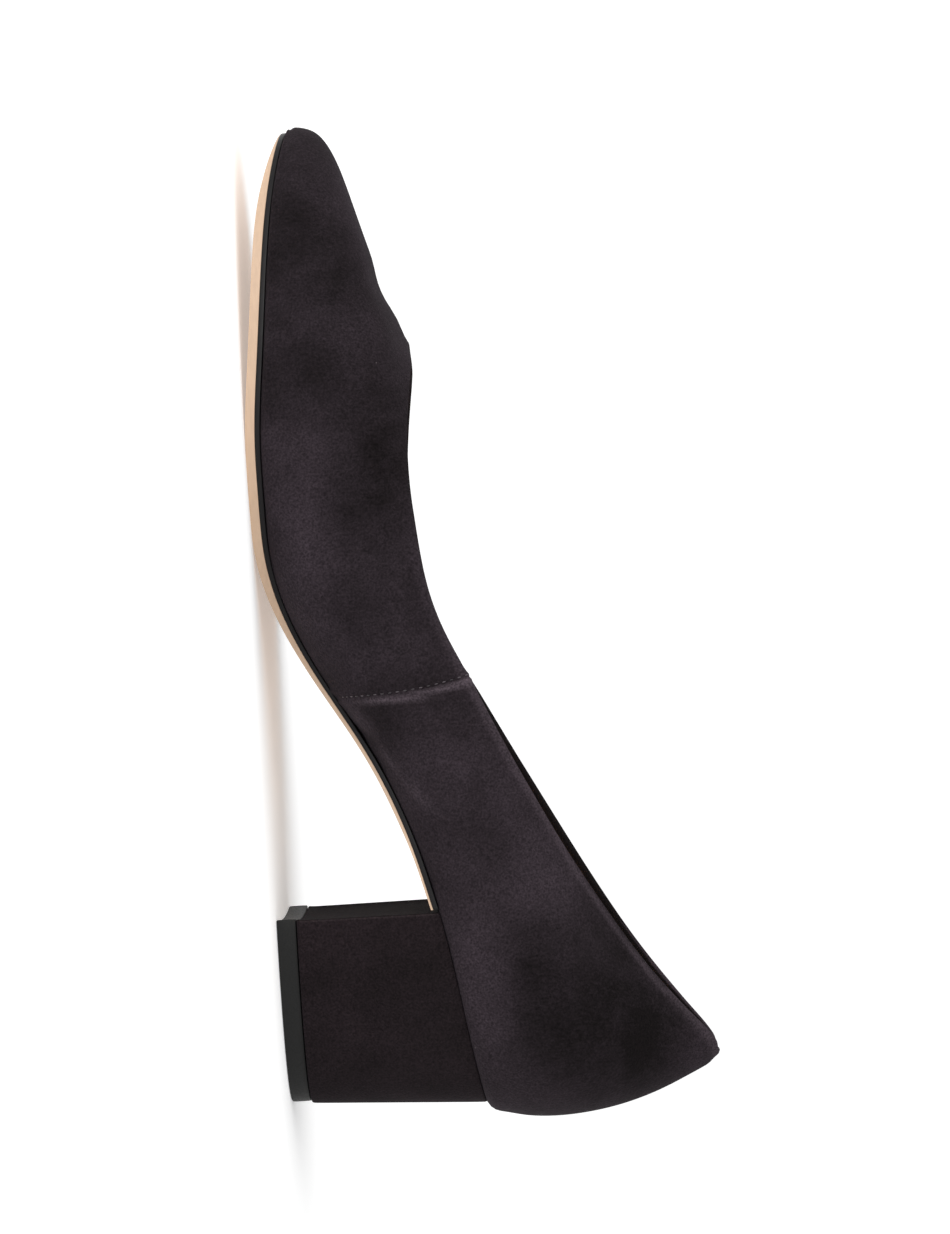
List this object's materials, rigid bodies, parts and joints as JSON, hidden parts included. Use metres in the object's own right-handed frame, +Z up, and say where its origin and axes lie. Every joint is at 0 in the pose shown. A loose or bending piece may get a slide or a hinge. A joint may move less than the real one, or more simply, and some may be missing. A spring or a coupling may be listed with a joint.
{
  "type": "women's pump shoe",
  "caption": "Right-foot women's pump in dark suede: hollow low-cut upper with a rounded toe, padded insole, thin sole with a black rand, and a suede-covered block heel on a rubber top lift.",
  "frame": {"origin": "middle of the shoe's bounding box in plan, at the floor that the tread and the top lift stand on", "axes": "+X along the foot from heel to toe, +Y towards the inner (medial) side of the right foot, +Z up"},
  "size_m": [0.25, 0.0802, 0.1077],
  "materials": {
    "suede": "matte brushed suede, dark aubergine grey, leather lined",
    "natural_sole": "smooth satin sole edge, natural beige",
    "black_edge": "glossy black edge strip",
    "lining_leather": "smooth pale lining leather over padding",
    "heel_suede": "matte brushed suede drawn over a moulded block",
    "black_rubber": "matte black rubber"
  },
  "bodies": {
    "root": {"upper": "suede", "outsole": "natural_sole", "rand": "black_edge", "insole": "lining_leather", "heel": "heel_suede", "top_lift": "black_rubber"}
  },
  "joints": []
}
